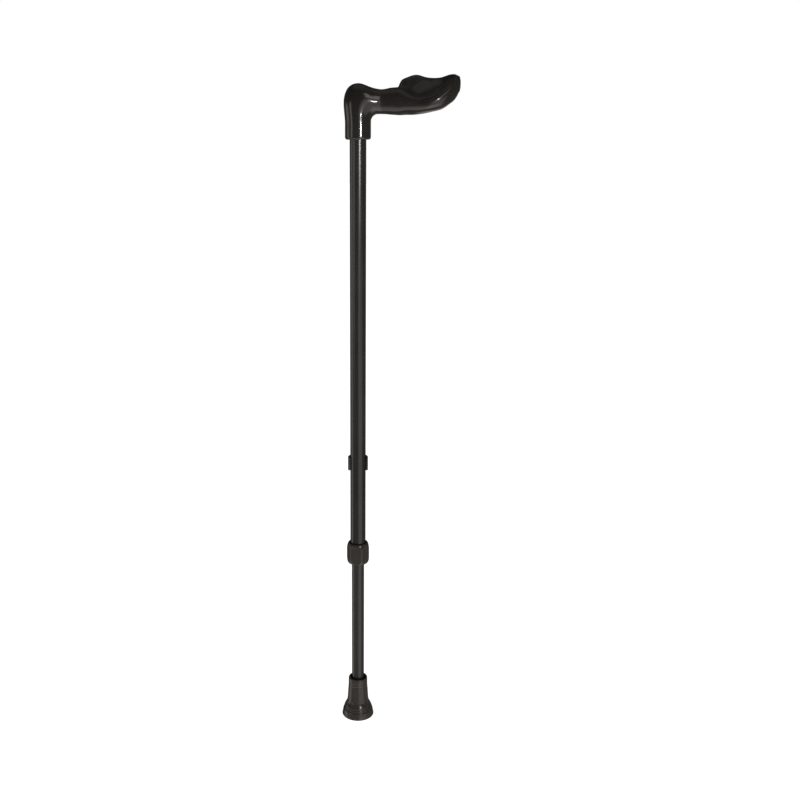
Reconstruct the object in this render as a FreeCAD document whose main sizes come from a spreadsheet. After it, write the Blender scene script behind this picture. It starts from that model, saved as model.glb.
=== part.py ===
"""Height-adjustable walking stick with an anatomical palm grip.

The stick stands along +Z with the centre of the rubber foot at the origin.
+X points to the rear end of the palm grip and +Y to the side that carries
the height clip. All lengths are in millimetres.

Main pieces, from the top down: a moulded grip on the upper tube, a clip whose
peg locks the height, a clamping nut on a threaded sleeve, the lower tube that
slides inside the upper one, and a rubber ferrule.
"""
import FreeCAD, Part
import Sketcher
import os
from math import cos, radians, sin
from FreeCAD import Placement, Rotation, Vector

doc = FreeCAD.newDocument("walking_stick")
sheet = doc.addObject("Spreadsheet::Sheet", "sizes")

# ---------------------------------------------------------------- driving sizes
DRIVING_SIZES = {
    # heights above the floor, with the stick set to the height it is drawn at
    "grip_bottom": 849.5,       # lower edge of the grip's collar
    "peg_height": 402.0,        # axis of the clip's peg
    "nut_bottom": 250.0,        # lower face of the tightened clamping nut
    # tubes
    "upper_outer": 22.0,        # outside diameter of the upper tube
    "upper_wall": 1.5,
    "lower_outer": 18.0,        # outside diameter of the lower tube
    "lower_wall": 1.5,
    "running_gap": 0.1,         # radial gap of a running fit
    "free_gap": 0.35,           # radial gap where nothing is meant to touch
    # grip
    "socket_depth": 38.0,       # depth of the tube socket in the collar
    "collar_wall": 6.1,
    "collar_edge": 3.2,         # rounding of the collar's lower edge
    "grip_length": 132.9,       # stick axis to the rear end of the pad
    "pad_width": 60.5,          # across the pad and its thumb lobe
    "elbow_radius": 9.2,        # inner bend between collar and neck
    "elbow_drop": 23.1,         # bend centre above the collar's lower edge
    "neck_height": 30.8,
    "neck_width": 28.0,
    "head_width": 34.0,
    # plug and screw that hold the grip on the tube
    "plug_length": 40.0,
    "plug_flange": 2.0,
    "screw_rise": 12.5,         # screw axis above the collar's lower edge
    "screw_radius": 1.75,
    "screw_head_radius": 3.5,
    "screw_head_height": 2.2,
    "screw_sink": 0.8,          # screw head below the collar's surface
    "screw_length": 12.0,
    "recess_length": 3.6,
    "recess_width": 0.9,
    "recess_depth": 1.3,
    # height clip
    "clip_height": 20.0,
    "clip_thickness": 3.1,
    "clip_wrap": 228.0,         # degrees of the tube that the band embraces
    "clip_gap": 0.15,
    "peg_radius": 3.0,
    "peg_inside": 2.3,          # how far the peg reaches into the lower tube's bore
    "boss_radius": 6.0,
    "boss_stand": 2.2,          # boss beyond the band
    "boss_cap": 1.0,            # plastic left behind the peg
    "hole_pitch": 20.0,
    "holes_below": 8.0,
    "holes_above": 4.0,
    "tube_above_holes": 22.0,
    # clamping sleeve, ring and nut
    "sleeve_wall": 1.4,
    "sleeve_below_nut": 1.0,    # sleeve's top below the tightened nut's top
    "sleeve_lip": 2.0,
    "tube_in_nut": 16.0,        # upper tube's cut end above the nut's lower face
    "cone_height": 6.0,
    "cone_edge": 1.2,           # wall left at the sleeve's mouth
    "ring_top_gap": 2.0,        # tightened ring to the end of the cone
    "ring_split": 14.0,         # degrees of the gap in the split ring
    "thread_gap": 0.15,
    "nut_height": 30.0,
    "nut_wall": 3.75,            # at the widest part of the barrel
    "nut_flat_wall": 2.2,
    "nut_shoulder_wall": 2.95,  # where the barrel turns in to its top face
    "nut_top_wall": 1.05,
    "nut_heel_wall": 4.2,      # of the floor's lower face, round the lower tube
    "nut_turned": 20.0,         # degrees from +X to the first flat
    "nut_floor": 3.5,
    "nut_shoulder": 2.4,        # height of the turned-in top edge
    "nut_taper": 12.0,          # from the top face down to the widest part
    "nut_heel": 8.0,            # height of the sloped heel at the bottom
    "nut_rounding": 5.0,
    # guide bush on the lower tube's upper end
    "bush_head": 7.0,
    "bush_spigot": 12.0,
    "bush_wall": 1.6,
    # ferrule
    "foot_radius": 23.8,
    "foot_height": 62.5,
    "foot_floor": 8.0,          # rubber under the washer
    "washer_thickness": 1.5,
    "foot_neck_wall": 5.0,
    "foot_waist_wall": 7.0,
    "foot_waist_height": 24.5,
    "foot_lip": 6.0,            # depth of the bell-mouth
    "foot_lip_gap": 2.3,
    "tread_depth": 1.2,
    "tread_width": 2.6,
    "tread_slope": 0.4,         # lean of a groove's sides
    "tread_inner": 6.3,         # inner radius of the inner groove
    "tread_outer": 13.6,        # inner radius of the outer groove
}


class Size:
    """A length that carries its value and the expression that works it out."""

    def __init__(self, value, text):
        self.value = value
        self.text = text

    def joined(self, sign, other, value):
        other_text = other.text if isinstance(other, Size) else repr(float(other))
        return Size(value, f"({self.text} {sign} {other_text})")

    def __add__(self, other):
        return self.joined("+", other, self.value + number(other))

    def __sub__(self, other):
        return self.joined("-", other, self.value - number(other))

    def __mul__(self, other):
        return self.joined("*", other, self.value * number(other))

    def __truediv__(self, other):
        return self.joined("/", other, self.value / number(other))


def number(size):
    """The plain number of a size."""
    return size.value if isinstance(size, Size) else float(size)


def fill_sheet():
    """Write the driving sizes into the sheet and hand them back by name."""
    named = {}
    for row, (name, value) in enumerate(DRIVING_SIZES.items(), start=1):
        sheet.set(f"A{row}", name)
        sheet.set(f"B{row}", str(value))
        sheet.setAlias(f"B{row}", name)
        named[name] = Size(value, f"sizes.{name}")
    doc.recompute()
    return named


size = fill_sheet()
ZERO = size["upper_outer"] * 0.0

# ------------------------------------------------------------- sizes worked out
upper_radius = size["upper_outer"] / 2
upper_bore = upper_radius - size["upper_wall"]
lower_radius = size["lower_outer"] / 2
lower_bore = lower_radius - size["lower_wall"]
upper_top = size["grip_bottom"] + size["socket_depth"] - size["plug_flange"]
upper_bottom = size["nut_bottom"] + size["tube_in_nut"]
collar_radius = upper_radius + size["collar_wall"]
screw_height = size["grip_bottom"] + size["screw_rise"]
screw_head_back = collar_radius - size["screw_sink"]
screw_head_seat = screw_head_back - size["screw_head_height"]
clip_inner = upper_radius + size["clip_gap"]
clip_outer = clip_inner + size["clip_thickness"]
peg_back = clip_outer + size["boss_stand"] - size["boss_cap"]
hole_radius = size["peg_radius"] + size["free_gap"]
lower_top = size["peg_height"] + size["hole_pitch"] * size["holes_above"] + size["tube_above_holes"]
lower_bottom = size["foot_floor"] + size["washer_thickness"]
sleeve_radius = upper_radius + size["sleeve_wall"]
sleeve_seat = upper_bottom - size["sleeve_lip"]
sleeve_bottom = sleeve_seat - size["cone_height"]
ring_bottom = size["nut_bottom"] + size["nut_floor"]
ring_top = sleeve_seat - size["ring_top_gap"]
nut_top = size["nut_bottom"] + size["nut_height"]
sleeve_top = nut_top - size["sleeve_below_nut"]
nut_bore = sleeve_radius + size["thread_gap"]
lower_clear = lower_radius + size["free_gap"]
cone_mouth = sleeve_radius - size["cone_edge"]
cone_slope = (cone_mouth - lower_clear) / size["cone_height"]


# --------------------------------------------------------------- drawing helpers
def new_body(name):
    """A part body whose label is the piece's name."""
    body = doc.addObject("PartDesign::Body", name)
    body.Label = name
    return body


def new_sketch(body, name, role, place=None, bound=None):
    """A sketch on one of the body's origin planes, moved by place if given."""
    sketch = body.newObject("Sketcher::SketchObject", name)
    plane = next(f for f in body.Origin.OriginFeatures if f.Role == role)
    sketch.AttachmentSupport = [(plane, "")]
    sketch.MapMode = "FlatFace"
    if place is not None:
        sketch.AttachmentOffset = place
    for path, length in (bound or {}).items():
        sketch.setExpression(f"AttachmentOffset.{path}", length.text)
    return sketch


def pin(sketch, kind, vertex, length):
    """Fix one coordinate of a vertex, measured from the sketch's origin."""
    index = sketch.addConstraint(
        Sketcher.Constraint(kind, -1, 1, vertex, 1, number(length)))
    if isinstance(length, Size):
        sketch.setExpression(f"Constraints[{index}]", length.text)


def draw_outline(sketch, points):
    """A closed outline of straight lines through points given as pairs of sizes."""
    ends = [Vector(number(across), number(up), 0) for across, up in points]
    count = len(ends)
    for i in range(count):
        sketch.addGeometry(Part.LineSegment(ends[i], ends[(i + 1) % count]))
    for i, (across, up) in enumerate(points):
        sketch.addConstraint(Sketcher.Constraint("Coincident", i, 2, (i + 1) % count, 1))
        pin(sketch, "DistanceX", i, across)
        pin(sketch, "DistanceY", i, up)


def draw_circle(sketch, radius, up=None):
    """A circle on the sketch's vertical axis, at the given height."""
    height = ZERO if up is None else up
    centre = Vector(0, number(height), 0)
    circle = sketch.addGeometry(Part.Circle(centre, Vector(0, 0, 1), number(radius)))
    sketch.addConstraint(Sketcher.Constraint("PointOnObject", circle, 3, -2))
    drop = sketch.addConstraint(
        Sketcher.Constraint("DistanceY", -1, 1, circle, 3, number(height)))
    sketch.setExpression(f"Constraints[{drop}]", height.text)
    reach = sketch.addConstraint(Sketcher.Constraint("Radius", circle, number(radius)))
    sketch.setExpression(f"Constraints[{reach}]", radius.text)


def revolve(body, points, name="turned", role="XZ_Plane", axis="V_Axis", place=None,
            bound=None, angle=None):
    """Turn an outline about one of its sketch's axes, centred on the sketch's plane."""
    sketch = new_sketch(body, f"{body.Name}_{name}_outline", role, place, bound)
    draw_outline(sketch, points)
    turned = body.newObject("PartDesign::Revolution", f"{body.Name}_{name}")
    turned.Profile = sketch
    turned.ReferenceAxis = (sketch, [axis])
    turned.Angle = 360.0
    if angle is not None:
        turned.Midplane = True
        turned.setExpression("Angle", angle.text)
    doc.recompute()
    return turned


def pocket(body, sketch, depth, name, reverse):
    """Cut a sketch's shape into the body; reverse cuts along the sketch's normal."""
    before = body.Shape.Volume
    cut = body.newObject("PartDesign::Pocket", f"{body.Name}_{name}")
    cut.Profile = sketch
    cut.setExpression("Length", depth.text)
    cut.Reversed = reverse
    doc.recompute()
    if not cut.isValid() or before - cut.Shape.Volume < 0.01:
        raise ValueError(f"{body.Name}_{name} cuts nothing")
    return cut


def back_hole(body, name, radius, up, depth, start=None):
    """A round hole from the plane y = start towards +Y."""
    bound = {"Base.z": start * -1.0} if start is not None else None
    sketch = new_sketch(body, f"{body.Name}_{name}_circle", "XZ_Plane", Placement(), bound)
    draw_circle(sketch, radius, up)
    return pocket(body, sketch, depth, name, reverse=False)


def round_edges(body, radius, chosen, name):
    """Round the edges of the body's last shape that the chosen function picks."""
    base = body.Tip
    edges = [f"Edge{i}" for i, edge in enumerate(base.Shape.Edges, start=1) if chosen(edge)]
    rounding = body.newObject("PartDesign::Fillet", f"{body.Name}_{name}")
    rounding.Base = (base, edges)
    rounding.setExpression("Radius", radius.text)
    doc.recompute()
    return rounding


def ring_edge(edge, radius, height):
    """Whether an edge is a full circle of this radius at this height."""
    low, high = edge.BoundBox.ZMin, edge.BoundBox.ZMax
    wide = edge.BoundBox.XMax
    return (high - low < 0.01 and abs(low - number(height)) < 0.01
            and abs(wide - number(radius)) < 0.05)


def collar_rim(edge):
    """Whether an edge is the lower rim of the grip's collar."""
    return abs(edge.BoundBox.ZMax - number(size["grip_bottom"])) < 0.01


# ------------------------------------------------------------------- the tubes
def make_upper_tube():
    """Aluminium tube from the nut up into the grip, drilled for peg and screw."""
    body = new_body("upper_tube")
    revolve(body, [(upper_bore, upper_bottom), (upper_radius, upper_bottom),
                   (upper_radius, upper_top), (upper_bore, upper_top)])
    back_hole(body, "peg_hole", hole_radius, size["peg_height"], size["upper_outer"])
    back_hole(body, "screw_hole", size["screw_radius"], screw_height, size["upper_outer"])
    return body


def make_lower_tube():
    """Aluminium tube that slides in the upper one, with a row of height holes."""
    body = new_body("lower_tube")
    revolve(body, [(lower_bore, lower_bottom), (lower_radius, lower_bottom),
                   (lower_radius, lower_top), (lower_bore, lower_top)])
    lowest = size["peg_height"] - size["hole_pitch"] * size["holes_below"]
    hole = back_hole(body, "height_hole", hole_radius, lowest, size["lower_outer"])
    row = body.newObject("PartDesign::LinearPattern", "lower_tube_hole_row")
    row.Originals = [hole]
    row.Direction = (hole.Profile[0], ["V_Axis"])
    steps = size["holes_below"] + size["holes_above"]
    row.setExpression("Length", (size["hole_pitch"] * steps).text)
    row.setExpression("Occurrences", (steps + 1.0).text)
    body.Tip = row
    doc.recompute()
    return body


def make_guide_bush():
    """Nylon bush on the lower tube's upper end that centres it in the upper tube."""
    body = new_body("guide_bush")
    outer = upper_bore - size["running_gap"]
    bore = lower_bore - size["bush_wall"]
    spigot_end = lower_top - size["bush_spigot"]
    head_top = lower_top + size["bush_head"]
    revolve(body, [(bore, spigot_end), (lower_bore, spigot_end), (lower_bore, lower_top),
                   (outer, lower_top), (outer, head_top), (bore, head_top)])
    return body


# ------------------------------------------------------------- plug and screw
def make_tube_plug():
    """Nylon plug in the upper tube's end that the grip's screw bites into."""
    body = new_body("tube_plug")
    bottom = upper_top - size["plug_length"]
    top = upper_top + size["plug_flange"]
    revolve(body, [(ZERO, bottom), (upper_bore, bottom), (upper_bore, upper_top),
                   (upper_radius, upper_top), (upper_radius, top), (ZERO, top)])
    tip = screw_head_seat - size["screw_length"]
    back_hole(body, "pilot_hole", size["screw_radius"], screw_height, size["upper_outer"], tip)
    return body


def make_handle_screw():
    """Pan-head screw through the collar's back wall and the tube into the plug."""
    body = new_body("handle_screw")
    tip = screw_head_seat - size["screw_length"]
    shank, head = size["screw_radius"], size["screw_head_radius"]
    back = screw_head_back
    revolve(body, [(tip, ZERO), (tip, shank), (screw_head_seat, shank),
                   (screw_head_seat, head), (back, head), (back, ZERO)],
            role="YZ_Plane", axis="H_Axis", place=Placement(), bound={"Base.y": screw_height})
    long, short = size["recess_length"] / 2, size["recess_width"] / 2
    for name, across, up in (("recess_bar", long, short), ("recess_post", short, long)):
        sketch = new_sketch(body, f"handle_screw_{name}_outline", "XZ_Plane", Placement(),
                            {"Base.y": screw_height, "Base.z": (back - size["recess_depth"]) * -1.0})
        draw_outline(sketch, [(across * -1.0, up * -1.0), (across, up * -1.0),
                              (across, up), (across * -1.0, up)])
        pocket(body, sketch, size["screw_head_height"], name, reverse=False)
    return body


# ----------------------------------------------------------------- height clip
def make_clip_band():
    """Springy plastic band that snaps round the upper tube from behind."""
    body = new_body("clip_band")
    low = size["peg_height"] - size["clip_height"] / 2
    high = size["peg_height"] + size["clip_height"] / 2
    revolve(body, [(clip_inner, low), (clip_outer, low), (clip_outer, high), (clip_inner, high)],
            role="YZ_Plane", angle=size["clip_wrap"])
    boss = new_sketch(body, "clip_band_boss_circle", "XZ_Plane", Placement(),
                      {"Base.z": (clip_inner + size["clip_thickness"] / 2) * -1.0})
    draw_circle(boss, size["boss_radius"], size["peg_height"])
    pad = body.newObject("PartDesign::Pad", "clip_band_boss")
    pad.Profile = boss
    pad.Reversed = True
    pad.setExpression("Length", (size["clip_thickness"] / 2 + size["boss_stand"]).text)
    doc.recompute()
    back_hole(body, "peg_hole", size["peg_radius"], size["peg_height"], peg_back)
    return body


def make_clip_peg():
    """Steel peg of the clip, through the back walls of both tubes."""
    body = new_body("clip_peg")
    tip, back, radius = lower_bore - size["peg_inside"], peg_back, size["peg_radius"]
    nose = radius / 3
    revolve(body, [(tip, ZERO), (tip, radius - nose), (tip + nose, radius), (back, radius),
                   (back, ZERO)],
            role="YZ_Plane", axis="H_Axis", place=Placement(), bound={"Base.y": size["peg_height"]})
    return body


# ---------------------------------------------------------- the clamp at the nut
def make_clamp_sleeve():
    """Sleeve bonded on the upper tube's end, with the cone that squeezes the ring."""
    body = new_body("clamp_sleeve")
    revolve(body, [(lower_clear, sleeve_seat), (cone_mouth, sleeve_bottom),
                   (sleeve_radius, sleeve_bottom), (sleeve_radius, sleeve_top),
                   (upper_radius, sleeve_top), (upper_radius, upper_bottom),
                   (lower_clear, upper_bottom)])
    return body


def make_clamp_ring():
    """Split ring that the nut presses into the sleeve's cone to grip the lower tube."""
    body = new_body("clamp_ring")
    bore = lower_radius + size["running_gap"]
    flange, flange_top = nut_bore - size["free_gap"], sleeve_bottom - size["free_gap"]
    cone_foot = cone_mouth - size["thread_gap"]
    cone_tip = cone_foot - cone_slope * (ring_top - sleeve_bottom)
    revolve(body, [(bore, ring_bottom), (flange, ring_bottom), (flange, flange_top),
                   (cone_foot, flange_top), (cone_foot, sleeve_bottom), (cone_tip, ring_top),
                   (bore, ring_top)],
            angle=size["ring_split"] * -1.0 + 360.0)
    return body


def make_clamp_nut():
    """Barrel-shaped nut with six finger flats, screwed on the sleeve from below."""
    body = new_body("clamp_nut")
    low, top = size["nut_bottom"], nut_top
    widest, heel = nut_bore + size["nut_wall"], low + size["nut_heel"]
    revolve(body, [(lower_clear, low), (lower_clear + size["nut_heel_wall"], low),
                   (widest, heel), (widest, top - size["nut_taper"]),
                   (nut_bore + size["nut_shoulder_wall"], top - size["nut_shoulder"]),
                   (nut_bore + size["nut_top_wall"], top), (nut_bore, top),
                   (nut_bore, ring_bottom), (lower_clear, ring_bottom)])
    round_edges(body, size["nut_rounding"], lambda e: ring_edge(e, widest, heel), "heel_rounding")
    flat = new_sketch(body, "clamp_nut_flat_outline", "XY_Plane", Placement(),
                      {"Base.z": low, "Rotation.Angle": size["nut_turned"]})
    near, far = nut_bore + size["nut_flat_wall"], widest * 2.0
    draw_outline(flat, [(near, widest * -1.0), (far, widest * -1.0), (far, widest), (near, widest)])
    cut = pocket(body, flat, size["nut_height"], "flat", reverse=True)
    ring = body.newObject("PartDesign::PolarPattern", "clamp_nut_flats")
    ring.Originals = [cut]
    ring.Axis = (flat, ["N_Axis"])
    ring.Angle = 360.0
    ring.Occurrences = 6
    body.Tip = ring
    doc.recompute()
    return body


# ----------------------------------------------------------------- the ferrule
# The ferrule's skirt from the sole's edge up, as (how far inside the foot's radius, height).
SKIRT_OUTLINE = (
    (0.8, 0.0), (0.0, 1.1), (0.5, 4.6), (1.3, 8.2), (1.8, 10.4),   # the lower bead
    (3.0, 11.3), (2.8, 12.9), (3.6, 14.4),                        # the groove and the upper bead
)

# The shoulder over the beads, as (how far outside the waist's radius, how far below the waist).
SHOULDER_OUTLINE = ((3.4, 8.6), (2.1, 5.2), (0.0, 0.0), (-0.6, -7.5))

# The neck, as (how far outside the neck's radius, how far below the ferrule's top).
NECK_OUTLINE = ((0.6, 19.0), (0.1, 8.0), (-0.3, 0.0))


def tread_groove(inner):
    """Four corners of one ring groove in the sole, from its inner edge out."""
    deep, wide, slope = size["tread_depth"], size["tread_width"], size["tread_slope"]
    return [(inner, ZERO), (inner + slope, deep), (inner + wide - slope, deep), (inner + wide, ZERO)]


def make_ferrule():
    """Rubber foot with a bell-mouth, a flared skirt, two beads and a grooved sole."""
    body = new_body("ferrule")
    foot, top, waist_up = size["foot_radius"], size["foot_height"], size["foot_waist_height"]
    neck, waist = lower_radius + size["foot_neck_wall"], lower_radius + size["foot_waist_wall"]
    outline = [(ZERO, ZERO), *tread_groove(size["tread_inner"]), *tread_groove(size["tread_outer"])]
    outline += [(foot - inside, ZERO + up) for inside, up in SKIRT_OUTLINE]
    outline += [(waist + outside, waist_up - down) for outside, down in SHOULDER_OUTLINE]
    outline += [(neck + outside, top - down) for outside, down in NECK_OUTLINE]
    outline += [(lower_radius + size["foot_lip_gap"], top), (lower_radius, top - size["foot_lip"]),
                (lower_radius, size["foot_floor"]), (ZERO, size["foot_floor"])]
    revolve(body, outline)
    return body


def make_ferrule_washer():
    """Steel washer inside the ferrule that keeps the tube from cutting through."""
    body = new_body("ferrule_washer")
    low, high = size["foot_floor"], lower_bottom
    revolve(body, [(ZERO, low), (lower_radius, low), (lower_radius, high), (ZERO, high)])
    return body


# --------------------------------------------------------------------- the grip
def oval(height, width, middle=0.0):
    """Eight points round an oval, as (outward, sideways) from its middle."""
    corners = [radians(45.0 * i) for i in range(8)]
    return [(middle + height / 2 * cos(turn), width / 2 * sin(turn)) for turn in corners]


def fan_sections():
    """Sections of the collar and of the bend, as (x, z, turn, points).

    The collar's lie level. The bend's fan out from the centre of its inner curve.
    """
    collar = number(collar_radius) * 2
    centre_x = collar_radius + size["elbow_radius"]
    centre_z = size["grip_bottom"] + size["elbow_drop"]
    sections = []
    for rise in (0.0, 0.35, 0.7):
        height = size["grip_bottom"] + size["elbow_drop"] * rise
        sections.append((ZERO, height, 180.0, oval(collar, collar)))
    inner = number(size["elbow_radius"])
    head, neck = number(size["head_width"]), number(size["neck_width"])
    # (turn of the section, its height, its width)
    fan = ((176.0, collar * 1.009, collar), (160.0, collar * 1.126, head),
           (145.0, collar * 1.312, head + 0.6), (130.0, collar * 1.425, head + 0.4),
           (117.0, collar * 1.304, head - 1.0), (104.0, collar * 1.044, neck + 2.4),
           (90.0, number(size["neck_height"]), neck))
    for turn, height, width in fan:
        sections.append((centre_x, centre_z, turn, oval(height, width, inner + height / 2)))
    return sections


# Each pad section: its share of the grip's length, then eight points (y, z) with z
# counted from the underside of the neck: crest, thumb side's rim, its edge, its
# underside, lowest point, finger side's underside, its edge and its rim.
PAD_SECTIONS = (
    (0.26, ((0, 31), (10, 27.2), (14, 15.6), (10, 4.1),
            (0, -0.3), (-10, 4.1), (-14.2, 15.6), (-10, 26.8))),
    (0.33, ((1, 33.3), (12, 30.1), (16.5, 18.8), (12, 5.1),
            (0, -0.7), (-11, 3.6), (-15.8, 16), (-11, 28.3))),
    (0.41, ((2, 35.5), (15.5, 36.5), (22, 28.4), (16, 9.7),
            (0, -0.9), (-13, 3.5), (-18, 17.2), (-12, 31))),
    (0.49, ((4, 33.6), (24, 46.4), (31, 40.9), (19, 16.2),
            (1, -0.3), (-15, 3.6), (-20.5, 15.2), (-13, 28.2))),
    (0.58, ((7, 34.2), (27, 50.3), (35, 44.8), (20, 20.1),
            (1, 0.2), (-17, 3.3), (-23, 12.8), (-15, 24.2))),
    (0.67, ((8, 32.6), (27, 47.8), (34, 42.3), (19, 20.9),
            (0, 1.5), (-17, 4.1), (-25, 13.3), (-18, 22.6))),
    (0.76, ((6, 33), (24, 46.2), (30, 40.6), (16, 21.8),
            (-1, 4.2), (-17, 5.7), (-25.5, 16.1), (-19, 25.2))),
    (0.842, ((4, 36.3), (18, 48), (23.5, 42.7), (12, 25.7),
            (-2, 8.6), (-15, 10.1), (-22.5, 20.3), (-17, 29.8))),
    (0.918, ((2, 41.9), (10, 49.9), (15, 45.1), (8, 30.8),
            (-2, 15.8), (-11, 17.3), (-17.5, 27.2), (-13, 37.6))),
    (0.971, ((0, 46.2), (4.5, 48.7), (8, 44.7), (4.5, 34.6),
            (-1.5, 24.9), (-6.5, 25.9), (-10.5, 33.4), (-8, 42.4))),
    (1.0, ((-1, 42.7), (1.5, 43), (3, 40.3), (1.5, 35.6),
            (-1, 33.2), (-3.5, 33.7), (-5, 37.3), (-3.5, 41.7))),
)

# The sizes across and up that the sections above are drawn for.
PAD_WIDTH_DRAWN = 60.5
NECK_WIDTH_DRAWN = 28.0
NECK_HEIGHT_DRAWN = 30.8
NECK_SHARE = 0.26
PAD_SHARE = 0.5

# The section at the top of the bend, where the collar's loft hands over to the pad's.
TOP_OF_BEND = 5


def pad_sections():
    """Sections of the neck and of the palm pad, as (x, z, turn, points)."""
    neck_stretch = number(size["neck_width"]) / NECK_WIDTH_DRAWN
    pad_stretch = number(size["pad_width"]) / PAD_WIDTH_DRAWN
    rise = number(size["neck_height"]) / NECK_HEIGHT_DRAWN
    underside = size["grip_bottom"] + size["elbow_drop"] + size["elbow_radius"]
    for share, points in PAD_SECTIONS:
        along = min(1.0, (share - NECK_SHARE) / (PAD_SHARE - NECK_SHARE))
        stretch = neck_stretch + (pad_stretch - neck_stretch) * along
        yield (size["grip_length"] * share, underside, 90.0,
               [(up * rise, across * stretch) for across, up in points])


def make_handle_grip():
    """Moulded grip: collar, bend, neck and palm pad in one lofted solid."""
    body = new_body("handle_grip")
    sketches = []
    for i, (across, up, turn, points) in enumerate([*fan_sections(), *pad_sections()]):
        out = Vector(cos(radians(turn)), 0, sin(radians(turn)))
        side = Vector(0, 1, 0)
        facing = Rotation(out, side, out.cross(side), "XYZ")
        sketch = new_sketch(body, f"grip_section_{i:02d}", "XY_Plane",
                            Placement(Vector(), facing), {"Base.x": across, "Base.z": up})
        curve = Part.BSplineCurve()
        curve.interpolate([Vector(a, b, 0) for a, b in points], PeriodicFlag=True)
        sketch.addGeometry(curve)
        sketches.append(sketch)
    for name, chain in (("bend", sketches[:TOP_OF_BEND + 1]), ("pad", sketches[TOP_OF_BEND:])):
        loft = body.newObject("PartDesign::AdditiveLoft", f"handle_grip_{name}")
        loft.Profile = chain[0]
        loft.Sections = chain[1:]
        doc.recompute()
    round_edges(body, size["collar_edge"], collar_rim, "collar_rounding")
    socket = new_sketch(body, "handle_grip_socket_circle", "XY_Plane", Placement(),
                        {"Base.z": size["grip_bottom"]})
    draw_circle(socket, upper_radius)
    pocket(body, socket, size["socket_depth"], "socket", reverse=True)
    back_hole(body, "screw_hole", size["screw_radius"], screw_height, collar_radius * 2.0)
    back_hole(body, "screw_counterbore", size["screw_head_radius"], screw_height,
              collar_radius, screw_head_seat)
    return body


# ------------------------------------------------------------------------ build
MAKERS = (make_handle_grip, make_tube_plug, make_handle_screw, make_upper_tube,
          make_clip_band, make_clip_peg, make_clamp_sleeve, make_clamp_ring, make_clamp_nut,
          make_lower_tube, make_guide_bush, make_ferrule, make_ferrule_washer)


def check(bodies):
    """Stop if any object failed or any piece has no sound solid."""
    failed = [o.Name for o in doc.Objects if {"Invalid", "Error"} & set(o.State)]
    if failed:
        raise ValueError(f"these objects failed: {failed}")
    for body in bodies:
        shape = body.Shape
        if shape.isNull() or not shape.isValid() or shape.Volume <= 0:
            raise ValueError(f"{body.Label} has no sound solid")
        print(f"{body.Label:16s} {len(shape.Solids)} solid(s) {shape.Volume / 1000:8.2f} cm3")


pieces = [make() for make in MAKERS]
doc.recompute()
check(pieces)
os.makedirs("parts", exist_ok=True)
for piece in pieces:
    piece.Shape.exportStep(f"parts/{piece.Label}.step")
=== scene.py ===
"""Looks of a height-adjustable walking stick with an anatomical palm grip.

The stick stands on the floor with its axis on +Z. +X points to the rear end of
the palm grip and +Y to the side that carries the height clip. Sizes in the
tables below are millimetres; every mesh is in metres.
"""
import logging
from dataclasses import dataclass
from enum import Enum
from math import cos, pi, radians, sin, sqrt

import bmesh
import bpy
import numpy as np
from mathutils import Matrix, Vector


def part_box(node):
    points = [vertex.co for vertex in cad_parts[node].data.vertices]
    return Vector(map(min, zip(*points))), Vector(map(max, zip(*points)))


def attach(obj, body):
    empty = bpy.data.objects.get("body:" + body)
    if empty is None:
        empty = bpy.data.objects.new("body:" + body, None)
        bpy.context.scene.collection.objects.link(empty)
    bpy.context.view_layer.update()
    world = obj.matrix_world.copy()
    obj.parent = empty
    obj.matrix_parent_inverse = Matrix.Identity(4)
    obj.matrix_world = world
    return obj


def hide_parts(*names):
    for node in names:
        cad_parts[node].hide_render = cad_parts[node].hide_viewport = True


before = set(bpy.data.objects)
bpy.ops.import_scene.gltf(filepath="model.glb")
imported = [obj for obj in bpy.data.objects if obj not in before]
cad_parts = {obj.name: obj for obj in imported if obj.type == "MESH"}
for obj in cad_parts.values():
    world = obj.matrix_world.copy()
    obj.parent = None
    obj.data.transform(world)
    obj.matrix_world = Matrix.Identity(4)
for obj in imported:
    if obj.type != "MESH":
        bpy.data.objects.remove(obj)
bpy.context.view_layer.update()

MM = 0.001
MERGE = 0.002 * MM
TURN = 2 * pi
log = logging.getLogger("walking_stick")

Point = tuple[float, float]
Colour = tuple[float, float, float]
Socket = bpy.types.NodeSocket


class Body(Enum):
    """The rigid bodies that the new pieces ride on."""

    UPPER = "upper_stick"
    LOWER = "lower_stick"
    CLIP = "clip"
    NUT = "clamp_nut"


class Slot(Enum):
    """Finish names for the new pieces, which place_piece is given but does not use."""

    GRIP = "grip_moulding"
    LOWER_TUBE = "lower_tube_coat"
    CLIP = "clip_plastic"
    CLAMP = "clamp_plastic"
    RUBBER = "foot_rubber"


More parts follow.
